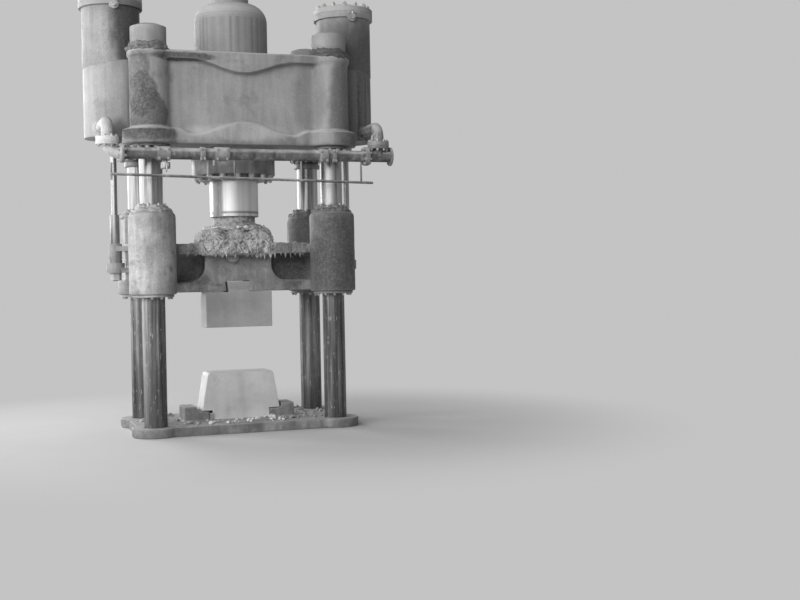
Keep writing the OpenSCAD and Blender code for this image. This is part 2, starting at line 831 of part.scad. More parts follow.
module lift_nut(side) {
    nut_h = 80;
    corners_d = 122;
    color(steel) mirrored(side) translate([lift_x, 0, lug_low_z - nut_h]) difference() {
        cylinder(d = corners_d, h = nut_h, $fn = 6);
        translate([0, 0, -past]) cylinder(d = rod_d + 2 * fit, h = nut_h + 2 * past);
    }
}

bed_casting();
lower_tool();
lower_tool_key();
column(-1, -1);  // column_front_left
column(1, -1);  // column_front_right
column(-1, 1);  // column_rear_left
column(1, 1);  // column_rear_right
column_nut(-1, -1);  // column_nut_front_left
column_nut(1, -1);  // column_nut_front_right
column_nut(-1, 1);  // column_nut_rear_left
column_nut(1, 1);  // column_nut_rear_right
column_check_rings();
head_casting();
main_cylinder();
main_inlet_flange();
main_gland();
lift_saddle(-1);  // lift_saddle_left
lift_saddle(1);  // lift_saddle_right
lift_cylinder(-1);  // lift_cylinder_left
lift_cylinder(1);  // lift_cylinder_right
lift_cover(-1);  // lift_cover_left
lift_cover(1);  // lift_cover_right
lift_gland(-1);  // lift_gland_left
lift_gland(1);  // lift_gland_right
steam_pipe();
steam_elbow_left();
steam_tee_right();
steam_branch(-1);  // steam_branch_left
steam_branch(1);  // steam_branch_right
drain_pipe();
drain_cock();
crosshead_casting();
guide_bushes();
guide_glands();
guide_wipers();
main_ram();
upper_tool();
upper_tool_key();
lift_rod(-1);  // lift_rod_left
lift_rod(1);  // lift_rod_right
lift_lug(-1);  // lift_lug_left
lift_lug(1);  // lift_lug_right
lift_nut(-1);  // lift_nut_left
lift_nut(1);  // lift_nut_right
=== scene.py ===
import bpy
import bmesh
import math
import random
from mathutils import Matrix, Vector, noise


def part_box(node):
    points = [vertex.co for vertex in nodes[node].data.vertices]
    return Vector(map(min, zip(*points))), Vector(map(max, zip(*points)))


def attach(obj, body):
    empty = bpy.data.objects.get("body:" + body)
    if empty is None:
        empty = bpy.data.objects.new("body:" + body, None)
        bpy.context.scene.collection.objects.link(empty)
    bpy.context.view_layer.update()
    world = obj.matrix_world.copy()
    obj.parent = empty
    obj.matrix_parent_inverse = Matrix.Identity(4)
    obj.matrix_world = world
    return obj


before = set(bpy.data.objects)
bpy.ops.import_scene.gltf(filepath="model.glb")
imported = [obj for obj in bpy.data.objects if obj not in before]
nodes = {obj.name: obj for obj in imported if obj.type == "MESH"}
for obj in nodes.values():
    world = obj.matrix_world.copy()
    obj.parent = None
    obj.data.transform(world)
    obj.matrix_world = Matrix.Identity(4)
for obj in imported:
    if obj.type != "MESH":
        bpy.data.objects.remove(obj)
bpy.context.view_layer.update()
scene = bpy.context.scene
scene.view_settings.view_transform = "Standard"
print("frame loaded:", len(nodes), "nodes")


# Camera, at the photograph's place and turn

cameraSpec = {
    "place": (-2.7468, -13.2949, 1.6),
    "yaw": 0.3382,
    "pitch": -0.0047,
    "roll": -0.0199,
    "focalPixels": 1213.68,
    "centreRow": 283.74,
    "imageWidth": 800,
    "imageHeight": 600,
    "sensor": 36.0,
}


def addCamera(spec):
    data = bpy.data.cameras.new("camera")
    data.sensor_fit = "HORIZONTAL"
    data.sensor_width = spec["sensor"]
    data.lens = spec["sensor"] * spec["focalPixels"] / spec["imageWidth"]
    data.shift_y = (spec["centreRow"] - spec["imageHeight"] / 2) / spec["imageWidth"]
    data.clip_end = 200
    yaw, pitch, roll = spec["yaw"], spec["pitch"], spec["roll"]
    forward = Vector((math.sin(yaw) * math.cos(pitch), math.cos(yaw) * math.cos(pitch), math.sin(pitch)))
    levelRight = Vector((math.cos(yaw), -math.sin(yaw), 0))
    levelUp = levelRight.cross(forward)
    right = math.cos(roll) * levelRight + math.sin(roll) * levelUp
    top = math.cos(roll) * levelUp - math.sin(roll) * levelRight
    turn = Matrix((right, top, -forward)).transposed().to_4x4()
    obj = bpy.data.objects.new("camera", data)
    scene.collection.objects.link(obj)
    obj.matrix_world = Matrix.Translation(spec["place"]) @ turn
    scene.camera = obj


addCamera(cameraSpec)
print("camera made")


# Materials. Every one is a node graph on object coordinates.

def plain(tone):
    return (tone, tone, tone, 1)


class Graph:
    def __init__(self, name):
        self.material = bpy.data.materials.new(name)
        self.material.use_nodes = True
        self.tree = self.material.node_tree
        self.tree.nodes.clear()
        self.out = self.tree.nodes.new("ShaderNodeOutputMaterial")
        self.shader = self.tree.nodes.new("ShaderNodeBsdfPrincipled")
        self.link(self.shader.outputs[0], self.out.inputs[0])
        self.place = self.tree.nodes.new("ShaderNodeTexCoord").outputs["Object"]
        self.axes = self.tree.nodes.new("ShaderNodeSeparateXYZ")
        self.link(self.place, self.axes.inputs[0])

    def link(self, a, b):
        self.tree.links.new(a, b)

    def put(self, socket, value):
        if isinstance(value, bpy.types.NodeSocket):
            self.link(value, socket)
        else:
            socket.default_value = value

    def noise(self, scale, stretch=(1, 1, 1), detail=5, rough=0.55, shift=0.0):
        mapping = self.tree.nodes.new("ShaderNodeMapping")
        mapping.inputs["Scale"].default_value = stretch
        mapping.inputs["Location"].default_value = (shift, shift * 0.7, shift * 0.3)
        self.link(self.place, mapping.inputs["Vector"])
        node = self.tree.nodes.new("ShaderNodeTexNoise")
        node.inputs["Scale"].default_value = scale
        node.inputs["Detail"].default_value = detail
        node.inputs["Roughness"].default_value = rough
        self.link(mapping.outputs[0], node.inputs["Vector"])
        return node.outputs["Fac"]

    def cells(self, scale):
        node = self.tree.nodes.new("ShaderNodeTexVoronoi")
        node.inputs["Scale"].default_value = scale
        self.link(self.place, node.inputs["Vector"])
        return node.outputs["Distance"]

    def calc(self, kind, a, b=0.0):
        node = self.tree.nodes.new("ShaderNodeMath")
        node.operation = kind
        self.put(node.inputs[0], a)
        self.put(node.inputs[1], b)
        return node.outputs[0]

    def add(self, a, shareA, b, shareB):
        return self.calc("ADD", self.calc("MULTIPLY", a, shareA), self.calc("MULTIPLY", b, shareB))

    def spread(self, value, low, high, outLow=0.0, outHigh=1.0):
        node = self.tree.nodes.new("ShaderNodeMapRange")
        node.interpolation_type = "SMOOTHSTEP"
        self.put(node.inputs["Value"], value)
        for key, number in (("From Min", low), ("From Max", high), ("To Min", outLow), ("To Max", outHigh)):
            self.put(node.inputs[key], number)
        return node.outputs["Result"]

    def grey(self, value, stops):
        node = self.tree.nodes.new("ShaderNodeValToRGB")
        ramp = node.color_ramp
        while len(ramp.elements) < len(stops):
            ramp.elements.new(0.5)
        for element, (at, tone) in zip(ramp.elements, stops):
            element.position = at
            element.color = plain(tone)
        self.put(node.inputs[0], value)
        return node.outputs[0]

    def mix(self, factor, a, b, kind="MIX"):
        node = self.tree.nodes.new("ShaderNodeMix")
        node.data_type = "RGBA"
        node.blend_type = kind
        self.put(node.inputs["Factor"], factor)
        self.put(node.inputs["A"], a)
        self.put(node.inputs["B"], b)
        return node.outputs["Result"]

    def lay(self, base, over, where, depth, kind="MIX"):
        # One tone over another, where and as deep as asked for
        return self.mix(self.calc("MULTIPLY", where, depth), base, over, kind)

    def level(self, wave, reach):
        # Height above the floor with a wavy edge
        shift = self.calc("MULTIPLY", self.calc("SUBTRACT", wave, 0.5), reach)
        return self.calc("ADD", self.axes.outputs["Z"], shift)

    def curvature(self):
        # Over 0.5 on outer edges, under it in hollows
        return self.tree.nodes.new("ShaderNodeNewGeometry").outputs["Pointiness"]

    def spot(self, centre, reach, wave, patches, soft):
        # 1 inside a ragged patch round a point, 0 outside it
        total = None
        for axis, middle, size in zip("XYZ", centre, reach):
            step = self.calc("DIVIDE", self.calc("SUBTRACT", self.axes.outputs[axis], middle), size)
            square = self.calc("MULTIPLY", step, step)
            total = square if total is None else self.calc("ADD", total, square)
        total = self.calc("ADD", total, self.calc("SUBTRACT", self.add(wave, 1.6, patches, 1.2), 1.4))
        return self.spread(total, 0.95 - soft, 0.95 + soft, 1.0, 0.0)

    def topness(self, low, high):
        geometry = self.tree.nodes.new("ShaderNodeNewGeometry")
        parts = self.tree.nodes.new("ShaderNodeSeparateXYZ")
        self.link(geometry.outputs["Normal"], parts.inputs[0])
        return self.spread(parts.outputs["Z"], low, high)

    def bump(self, height, strength, distance, below=None):
        node = self.tree.nodes.new("ShaderNodeBump")
        node.inputs["Strength"].default_value = strength
        node.inputs["Distance"].default_value = distance
        self.link(height, node.inputs["Height"])
        if below is not None:
            self.link(below, node.inputs["Normal"])
        return node.outputs["Normal"]

    def shade(self, colour, roughness, metallic=0.0, normal=None):
        self.put(self.shader.inputs["Base Color"], colour)
        self.put(self.shader.inputs["Roughness"], roughness)
        self.put(self.shader.inputs["Metallic"], metallic)
        if normal is not None:
            self.link(normal, self.shader.inputs["Normal"])
        return self.material


def castingMaterial(name, spec):
    g = Graph(name)
    blotch = g.noise(spec["blotch"], detail=8, rough=0.62, shift=spec["shift"])
    runs = g.noise(spec["runs"], stretch=(1, 1, 0.12), detail=6, rough=0.6, shift=spec["shift"])
    grain = g.noise(spec["grain"], detail=3, rough=0.7)
    patches = g.noise(spec["blotch"] * 2.3, detail=9, rough=0.7, shift=spec["shift"] + 5)
    speck = g.noise(spec["grain"] * 0.5, detail=8, rough=0.8, shift=9)
    wave = g.noise(3.5, stretch=(1, 1, 0.5), detail=7, rough=0.65, shift=2)
    corner = g.curvature()
    tone = spec["dirtAndShadeTone"]
    rustAndShade = g.grey(speck, [(0.38, tone * 0.4), (0.5, tone), (0.6, tone * 1.9), (0.68, tone * 3)])

    # Paint, dirt, oil below a level, pale patches and painted light, rusty patches, stains and painted shade, dark
    # hollows of dirt and painted shade, worn edges with a painted highlight, and dust with painted light from above
    # on top
    base = g.grey(g.add(blotch, 0.6, runs, 0.4), [(0.36, spec["dark"]), (0.5, spec["mid"]), (0.62, spec["light"])])
    base = g.mix(spec["grainDepth"], base, g.grey(grain, [(0.35, 0.25), (0.65, 0.75)]), "OVERLAY")
    base = g.lay(base, rustAndShade, g.spread(patches, 0.55, 0.68), spec["dirt"])
    low, high = spec["oil"]
    oil = g.spread(g.level(wave, 0.5), low, high, 1.0, 0.0)
    base = g.lay(base, plain(spec["oilTone"]), oil, spec["oilDepth"])
    # Pale patches, some of them painted light
    for centre, reach, depth, soft in spec["paleAndLit"]:
        base = g.lay(base, plain(spec["paleAndLitGain"]), g.spot(centre, reach, wave, patches, soft), depth, "MULTIPLY")
    # Stains, and patches of painted shade, in the dirt tone
    for centre, reach, depth, soft in spec["stainsAndShade"]:
        base = g.lay(base, rustAndShade, g.spot(centre, reach, wave, patches, soft), depth)
    # Painted shade with dirt in the hollows, and a painted highlight with wear on the outer edges
    base = g.lay(base, plain(tone * 0.5), g.spread(corner, 0.42, 0.495, 1.0, 0.0), spec["hollowDirtAndShade"])
    base = g.lay(base, plain(spec["light"] * 1.25), g.spread(corner, 0.51, 0.58), spec["wearAndHighlight"])
    # Dust, and painted light from above, on faces that look up
    dustAndTopLight = g.calc("MULTIPLY", g.topness(*spec["dustAndTopLightFrom"]), g.spread(blotch, 0.35, 0.6, 0.4, 0.9))
    base = g.mix(dustAndTopLight, base, plain(spec["dustAndTopLight"]))

    normal = g.bump(grain, spec["bump"], 0.004)
    normal = g.bump(blotch, spec["bump"] * 0.8, 0.02, normal)
    normal = g.bump(speck, spec["bump"], 0.006, normal)
    return g.shade(base, g.spread(runs, 0.3, 0.7, *spec["rough"]), spec["metal"], normal)


# Tones are linear. A stain, a patch of painted shade, a pale patch, a patch of painted light or a band is its centre
# and reach in metres, its depth and its softness.
castingSpec = {
    "blotch": 1.6, "runs": 14, "grain": 70, "grainDepth": 0.3, "shift": 0.0,
    "dirt": 0.3, "dirtAndShadeTone": 0.07, "oil": (3.03, 3.1), "oilDepth": 0.0, "oilTone": 0.1,
    "dustAndTopLight": 0.5, "dustAndTopLightFrom": (0.12, 0.6), "hollowDirtAndShade": 0.7, "wearAndHighlight": 0.5, "paleAndLit": [], "paleAndLitGain": 1.6, "stainsAndShade": [],
    "bump": 0.35, "rough": (0.5, 0.8), "metal": 0.0,
}
headSpec = {
    **castingSpec, "dark": 0.22, "mid": 0.31, "light": 0.38, "grainDepth": 0.16, "oilDepth": 0.3,
    "paleAndLit": [((-0.1, -0.68, 3.18), (0.6, 0.3, 0.09), 0.5, 0.6)],
    "stainsAndShade": [
        ((-1.1, -0.66, 3.8), (0.12, 0.3, 0.22), 0.7, 0.3),
        ((-1.08, -0.7, 3.56), (0.17, 0.3, 0.24), 0.75, 0.25),
        ((-1.0, -0.7, 3.34), (0.22, 0.3, 0.26), 0.8, 0.2),
        ((-1.02, -0.75, 3.14), (0.3, 0.35, 0.09), 0.8, 0.4),
        # Painted shadow under the top band's lip
        ((-0.66, -0.67, 3.95), (0.34, 0.2, 0.045), 0.9, 0.4),
        # Painted shade on the right side of the right front boss
        ((1.1, -0.68, 3.4), (0.18, 0.3, 0.6), 0.6, 0.5),
        ((0.7, -0.66, 3.6), (0.16, 0.2, 0.5), 0.4, 0.7),
    ],
}
mainSpec = {
    **castingSpec, "dark": 0.26, "mid": 0.3, "light": 0.34, "runs": 6, "grainDepth": 0.16, "shift": 1.0,
    "dirt": 0.12,
}
liftSpec = {
    **castingSpec, "dark": 0.19, "mid": 0.31, "light": 0.42, "grainDepth": 0.25, "shift": 3.0,
    "dirtAndShadeTone": 0.04, "oil": (3.1, 3.2), "oilDepth": 0.2,
    # Painted shade beside the left boss and over the right saddle, and the left elbow's painted shadow on its saddle
    "stainsAndShade": [
        ((-1.1, -0.25, 3.4), (0.08, 0.4, 0.5), 0.4, 0.5),
        ((1.35, -0.2, 3.5), (0.6, 0.7, 0.9), 1.0, 0.5),
        ((-1.28, -0.3, 3.2), (0.1, 0.3, 0.16), 1.0, 0.7),
    ],
}
upperLiftSpec = {
    **liftSpec, "oilDepth": 0.0, "shift": 4.0,
    # Painted shade on the left cylinder's right side and on the right cylinder
    "stainsAndShade": [
        ((-1.02, -0.25, 4.25), (0.3, 0.4, 0.5), 0.85, 0.4),
        ((1.35, -0.2, 4.0), (0.5, 0.6, 0.5), 0.7, 0.5),
    ],
}
crossheadSpec = {
    **castingSpec, "dark": 0.14, "mid": 0.24, "light": 0.35, "blotch": 3.4, "runs": 16, "grain": 75, "shift": 7.0,
    "dirt": 0.55, "dirtAndShadeTone": 0.06, "oil": (1.3, 1.45), "oilDepth": 0.15, "dustAndTopLight": 0.3, "dustAndTopLightFrom": (0.45, 0.9),
    "bump": 0.5,
    # The first patch is paler iron together with painted light on the left front sleeve
    "paleAndLit": [
        ((-1.05, -0.6, 1.95), (0.3, 0.35, 0.6), 0.9, 0.7),
        ((-0.55, -0.3, 1.54), (0.36, 0.2, 0.05), 1.0, 0.4),
    ],
    # Dirt and painted shade on the right sleeves, painted shade in the front pockets, and painted shadow under the
    # left of the top flange
    "stainsAndShade": [
        ((0.98, -0.6, 1.9), (0.3, 0.35, 0.6), 0.85, 0.5),
        ((0.98, 0.45, 1.95), (0.35, 0.4, 0.6), 0.75, 0.5),
        ((-0.45, -0.08, 1.6), (0.2, 0.12, 0.3), 0.85, 0.4),
        ((0.56, -0.08, 1.7), (0.32, 0.12, 0.3), 0.9, 0.4),
        ((-0.5, -0.3, 1.8), (0.25, 0.12, 0.1), 0.6, 0.5),
        ((-0.32, -0.32, 1.76), (0.16, 0.1, 0.12), 0.5, 0.7),
    ],
}
bedSpec = {
    **castingSpec, "dark": 0.1, "mid": 0.2, "light": 0.32, "blotch": 4, "runs": 10, "shift": 11.0,
    "dustAndTopLight": 0.34, "dustAndTopLightFrom": (0.45, 0.9), "bump": 0.6,
}
toolSpec = {
    **castingSpec, "dark": 0.2, "mid": 0.29, "light": 0.38, "blotch": 2.2, "runs": 7, "grain": 90,
    "grainDepth": 0.16, "shift": 13.0, "dirtAndShadeTone": 0.12, "dustAndTopLight": 0.45, "bump": 0.2, "rough": (0.45, 0.7),
    "metal": 0.2, "stainsAndShade": [((0, -0.3, 1.56), (0.3, 0.3, 0.06), 0.45, 0.5)],
}
lowerToolSpec = {**toolSpec, "dark": 0.38, "mid": 0.54, "light": 0.64, "shift": 14.0}
pipeSpec = {
    **castingSpec, "dark": 0.05, "mid": 0.15, "light": 0.34, "blotch": 6, "runs": 20, "grain": 90, "shift": 17.0,
    "dirt": 0.75, "dirtAndShadeTone": 0.05, "bump": 0.3,
}
elbowSpec = {**pipeSpec, "dark": 0.34, "mid": 0.5, "light": 0.6, "dirt": 0.4, "shift": 19.0}
machinedSpec = {
    **castingSpec, "dark": 0.15, "mid": 0.28, "light": 0.42, "blotch": 5, "runs": 24, "grain": 110, "shift": 23.0,
    "dirt": 0.5, "dirtAndShadeTone": 0.08, "dustAndTopLight": 0.42, "bump": 0.18, "rough": (0.35, 0.6), "metal": 0.4,
}
# A darker copy of the machined look: painted shade under the head together with dirt, on the main gland and the
# check rings
shadedGlandSpec = {**machinedSpec, "dark": 0.06, "mid": 0.14, "light": 0.3, "dirtAndShadeTone": 0.035, "metal": 0.2, "shift": 27.0}
nutSpec = {
    **machinedSpec, "dark": 0.1, "mid": 0.2, "light": 0.34, "blotch": 3.5, "dirtAndShadeTone": 0.045, "metal": 0.1,
    "rough": (0.5, 0.75),
    "stainsAndShade": [
        ((-1.06, -0.64, 4.1), (0.17, 0.2, 0.14), 0.9, 0.5),
        ((0.98, 0.0, 4.08), (0.3, 1, 0.06), 0.7, 0.4),
    ],
}


def polishedMaterial(name, spec):
    # Steel with streaks along its length, an oily film below a level, and a dull, dusty foot below another
    g = Graph(name)
    z = g.axes.outputs["Z"]
    streak = g.noise(spec["streak"], stretch=(1, 1, 0.02), detail=4, rough=0.6, shift=spec["shift"])
    fine = g.noise(spec["streak"] * 4, stretch=(1, 1, 0.03), detail=3, rough=0.6, shift=1)
    smear = g.noise(2.4, stretch=(1, 1, 0.35), detail=7, rough=0.65, shift=4)
    drip = g.noise(46, stretch=(1, 1, 0.22), detail=5, rough=0.7, shift=7)
    dusty = g.grey(g.noise(24, detail=9, rough=0.7, shift=8), [(0.36, 0.14), (0.5, 0.36), (0.66, 0.5)])
    lines = g.add(streak, 0.7, fine, 0.3)

    # Bare steel with a dark ring, and the film, darker towards the bed and with pale drips
    clean = g.grey(lines, [(0.4, spec["dark"]), (0.6, spec["light"])])
    ring = g.calc("ABSOLUTE", g.calc("SUBTRACT", z, spec["ring"]))
    clean = g.mix(g.spread(ring, 0.003, 0.022, 0.7, 0.0), clean, plain(0.08))
    film = g.grey(g.add(lines, 0.75, smear, 0.25),
                  [(0.41, spec["filmDark"]), (0.5, spec["filmMid"]), (0.6, spec["filmLight"])])
    film = g.mix(g.spread(z, 0.25, 1.0, 0.5, 0.0), film, plain(0.03))
    film = g.mix(g.spread(drip, 0.59, 0.65, 0.0, 0.55), film, plain(0.5))

    # The film covers all below its level, patches above it, and the bands, which paint a dark band into the
    # reflection
    low, high = spec["film"]
    covered = g.spread(g.level(smear, 0.8), low, high, 1.0, 0.0)
    covered = g.calc("MAXIMUM", covered, g.spread(smear, 0.58, 0.7, 0.0, spec["patches"]))
    for centre, reach, depth, soft in spec["bands"]:
        covered = g.calc("MAXIMUM", covered, g.calc("MULTIPLY", g.spot(centre, reach, smear, streak, soft), depth))
    foot = g.spread(z, spec["foot"], spec["foot"] + 0.004, 1.0, 0.0)
    colour = g.mix(foot, g.mix(covered, clean, film), dusty)

    rough = g.calc("ADD", g.spread(streak, 0.35, 0.65, *spec["rough"]), g.calc("MULTIPLY", covered, 0.2))
    rough = g.calc("MAXIMUM", rough, g.calc("MULTIPLY", foot, 0.85))
    metal = g.calc("MULTIPLY", g.spread(covered, 0.0, 1.0, spec["metal"], 0.4), g.calc("SUBTRACT", 1.0, foot))
    height = g.calc("ADD", fine, g.calc("MULTIPLY", smear, g.calc("ADD", covered, g.calc("MULTIPLY", foot, 9))))
    return g.shade(colour, rough, metal, g.bump(height, 0.1, 0.002))


columnSpec = {
    "streak": 13, "shift": 0.0, "dark": 0.13, "light": 0.4, "film": (1.3, 1.6), "patches": 0.3,
    "filmDark": 0.035, "filmMid": 0.13, "filmLight": 0.36, "foot": -1.0, "ring": -1.0, "bands": [],
    "rough": (0.26, 0.4), "metal": 0.85,
}
ramSpec = {
    **columnSpec, "streak": 5, "shift": 6.0, "dark": 0.5, "light": 0.68, "film": (2.1, 2.3), "patches": 0.05,
    "filmDark": 0.1, "filmMid": 0.2, "foot": 2.311, "ring": 2.352,
    # A film band on the ram's front left that paints a dark band of its reflection
    "bands": [((-0.222, -0.15, 2.55), (0.07, 0.085, 2.0), 1.0, 0.4)],
    "rough": (0.36, 0.46), "metal": 0.6,
}
rodSpec = {**columnSpec, "streak": 40, "shift": 9.0, "dark": 0.16, "light": 0.36, "film": (1.9, 2.3)}


def crustMaterial(name, spec):
    # Baked scale, with painted shade in its creases, a painted highlight on its lumps, dust and painted light from
    # above on top, painted light on the left, and dull at the beam's ends
    g = Graph(name)
    x = g.axes.outputs["X"]
    patches = g.noise(9, detail=10, rough=0.72, shift=1)
    fine = g.noise(48, detail=8, rough=0.85, shift=3)
    corner = g.curvature()
    base = g.grey(g.add(patches, 0.4, fine, 0.6), spec["tones"])
    base = g.lay(base, plain(spec["dustAndTopLight"]), g.topness(0.2, 0.9), 0.4)
    # Painted shade in the creases and a painted highlight on the lumps
    base = g.mix(g.spread(corner, 0.4, 0.49, 0.8, 0.0), base, plain(spec["crease"]))
    base = g.mix(g.spread(corner, 0.52, 0.6, 0.0, 0.7), base, plain(spec["crestHighlight"]))
    # Painted light, brighter on the left
    base = g.mix(g.spread(x, *spec["leftX"], 0.5, 0.0), base, plain(spec["leftLightGain"]), "MULTIPLY")
    aside = g.spread(g.calc("ABSOLUTE", g.calc("SUBTRACT", x, spec["middleX"])), *spec["asideX"])
    base = g.lay(base, plain(spec["asideTone"]), aside, 0.55)
    normal = g.bump(g.cells(60), 0.5, 0.006, g.bump(fine, 0.7, 0.006))
    return g.shade(base, g.spread(patches, 0.3, 0.7, 0.8, 0.95), 0.0, normal)


crustSpec = {
    "tones": [(0.4, 0.07), (0.47, 0.3), (0.54, 0.5), (0.63, 0.75)], "dustAndTopLight": 0.42, "crease": 0.035, "crestHighlight": 0.78,
    "leftX": (-0.42, -0.12), "leftLightGain": 1.5, "middleX": -0.03, "asideX": (0.36, 0.48), "asideTone": 0.05,
}


def greaseMaterial(name, tones):
    g = Graph(name)
    patches = g.noise(12, detail=8, rough=0.68, shift=2)
    fine = g.noise(60, detail=4, rough=0.7, shift=5)
    base = g.grey(g.add(patches, 0.6, fine, 0.4), list(zip((0.36, 0.5, 0.64), tones)))
    # Darker on the right: partly dirt, partly painted shade
    base = g.mix(g.spread(g.axes.outputs["X"], 0.2, 0.6), base, g.mix(0.65, base, plain(0.06)))
    normal = g.bump(patches, 0.5, 0.01, g.bump(fine, 0.4, 0.003))
    return g.shade(base, g.spread(patches, 0.35, 0.65, 0.45, 0.8), 0.0, normal)


def bronzeMaterial(name):
    g = Graph(name)
    lines = g.noise(30, stretch=(1, 1, 0.05), detail=4, shift=1)
    spots = g.noise(8, detail=6, shift=2)
    base = g.mix(g.spread(spots, 0.45, 0.65), (0.4, 0.34, 0.22, 1), (0.16, 0.14, 0.1, 1))
    return g.shade(base, g.spread(lines, 0.35, 0.65, 0.3, 0.5), 0.9, g.bump(lines, 0.15, 0.002))


looks = {
    "head": castingMaterial("headCasting", headSpec),
    "mainCylinder": castingMaterial("mainCasting", mainSpec),
    "lift": castingMaterial("liftCasting", liftSpec),
    "upperLift": castingMaterial("upperLiftCasting", upperLiftSpec),
    "crosshead": castingMaterial("crossheadCasting", crossheadSpec),
    "bed": castingMaterial("bedCasting", bedSpec),
    "tool": castingMaterial("toolSteel", toolSpec),
    "lowerTool": castingMaterial("lowerToolSteel", lowerToolSpec),
    "pipe": castingMaterial("pipeSteel", pipeSpec),
    "elbow": castingMaterial("elbowIron", elbowSpec),
    "nut": castingMaterial("nutSteel", nutSpec),
    "gland": castingMaterial("shadedGlandIron", shadedGlandSpec),
    "machined": castingMaterial("machinedSteel", machinedSpec),
    "column": polishedMaterial("columnSteel", columnSpec),
    "ram": polishedMaterial("ramSteel", ramSpec),
    "rod": polishedMaterial("rodSteel", rodSpec),
    "crust": crustMaterial("scaleCrust", crustSpec),
    "grease": greaseMaterial("oldGrease", (0.12, 0.34, 0.52)),
    "grime": greaseMaterial("darkGrime", (0.04, 0.13, 0.26)),
    "bronze": bronzeMaterial("bearingBronze"),
}

# The look of a CAD node goes by the first of these that its name starts with
nodeLooks = {
    "column_nut": "nut", "column_check": "gland", "column_": "column",
    "head_casting": "head", "main_cylinder": "mainCylinder", "main_inlet": "machined", "main_gland": "gland",
    "main_ram": "ram", "lift_saddle": "lift", "lift_cover": "lift", "lift_cylinder": "upperLift",
    "lift_gland": "machined", "lift_rod": "rod", "lift_lug": "crosshead", "lift_nut": "machined",
    "steam_pipe": "pipe", "steam_tee": "pipe", "steam_elbow": "elbow", "steam_branch_left": "elbow",
    "steam_branch_right": "pipe", "drain_pipe": "pipe", "drain_cock": "machined",
    "crosshead_casting": "crosshead", "guide_bushes": "bronze", "guide_glands": "machined",
    "guide_wipers": "crosshead", "upper_tool_key": "machined", "upper_tool": "tool",
    "lower_tool_key": "machined", "lower_tool": "lowerTool", "bed_casting": "bed",
}

# Small edges are broken by a bevel, and big castings get the soft edges and the slight waves of cast iron
edgeWidths = {
    "lower_tool": 0.012, "upper_tool": 0.006, "lower_tool_key": 0.003, "upper_tool_key": 0.003,
    "main_gland": 0.006, "main_inlet_flange": 0.004, "column_check_rings": 0.004,
    "lift_cylinder_left": 0.006, "lift_cylinder_right": 0.006, "lift_saddle_left": 0.006, "lift_saddle_right": 0.006,
    "lift_lug_left": 0.006, "lift_lug_right": 0.006, "guide_glands": 0.004, "guide_wipers": 0.004,
    "steam_pipe": 0.003, "steam_elbow_left": 0.003, "steam_tee_right": 0.003, "drain_cock": 0.004,
}
castSpecs = {
    "head_casting": {"voxel": 0.0155, "rounds": 5, "wave": 0.004, "middle": 0.5},
    "crosshead_casting": {"voxel": 0.0135, "rounds": 3, "wave": 0.004, "middle": 0.5},
    "bed_casting": {"voxel": 0.0125, "rounds": 2, "wave": 0.003, "middle": 1.0},
}
waves = bpy.data.textures.new("castWaves", "CLOUDS")
waves.noise_scale = 0.16
waves.noise_depth = 3


def weldSeams(obj):
    weld = obj.modifiers.new("weld", "WELD")
    weld.merge_threshold = 0.00005


def breakEdges(obj, width):
    bevel = obj.modifiers.new("edges", "BEVEL")
    bevel.width = width
    bevel.segments = 2
    bevel.limit_method = "ANGLE"
    bevel.angle_limit = math.radians(32)


def castSkin(obj, spec):
    remesh = obj.modifiers.new("skin", "REMESH")
    remesh.mode = "VOXEL"
    remesh.voxel_size = spec["voxel"]
    remesh.use_smooth_shade = True
    smooth = obj.modifiers.new("soften", "SMOOTH")
    smooth.factor = 0.5
    smooth.iterations = spec["rounds"]
    displace = obj.modifiers.new("waves", "DISPLACE")
    displace.texture = waves
    displace.texture_coords = "LOCAL"
    displace.mid_level = spec["middle"]
    displace.strength = spec["wave"]


for name, obj in nodes.items():
    look = next(look for start, look in nodeLooks.items() if name.startswith(start))
    obj.data.materials.clear()
    obj.data.materials.append(looks[look])
    if name in edgeWidths:
        weldSeams(obj)
        breakEdges(obj, edgeWidths[name])
    elif name in castSpecs:
        weldSeams(obj)
        castSkin(obj, castSpecs[name])
print("materials set")


# Pieces

up, down = (0, 0, 1), (0, 0, -1)
columnX, columnY = 0.975, 0.5
corners = [(sx * columnX, sy * columnY) for sx in (-1, 1) for sy in (-1, 1)]
liftX = 1.3
pipeY, pipeZ = -0.81, 2.92
beamTop, flangeFoot, flangeFront = 2.005, 1.9, -0.32
bedTop = 0.1


def addPiece(name, bm, look, body, angle=35):
    bmesh.ops.recalc_face_normals(bm, faces=bm.faces)
    mesh = bpy.data.meshes.new(name)
    bm.to_mesh(mesh)
    bm.free()
    mesh.materials.append(looks[look])
    obj = bpy.data.objects.new(name, mesh)
    scene.collection.objects.link(obj)
    mesh.shade_smooth()
    mesh.set_sharp_from_angle(angle=math.radians(angle))
    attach(obj, body)


def frameAt(place, axis):
    return Matrix.Translation(place) @ Vector(axis).to_track_quat("Z", "Y").to_matrix().to_4x4()


# Bolts. The radii and the bevel are shares of the head's width, the washer's thickness is one of its height.

boltSpec = {
    "washerThick": 0.18, "washerFoot": 0.62, "washerTop": 0.6, "washerSeat": 0.98, "bevel": 0.07,
    "studFoot": 0.32, "studTop": 0.29, "studSink": 0.001,
}


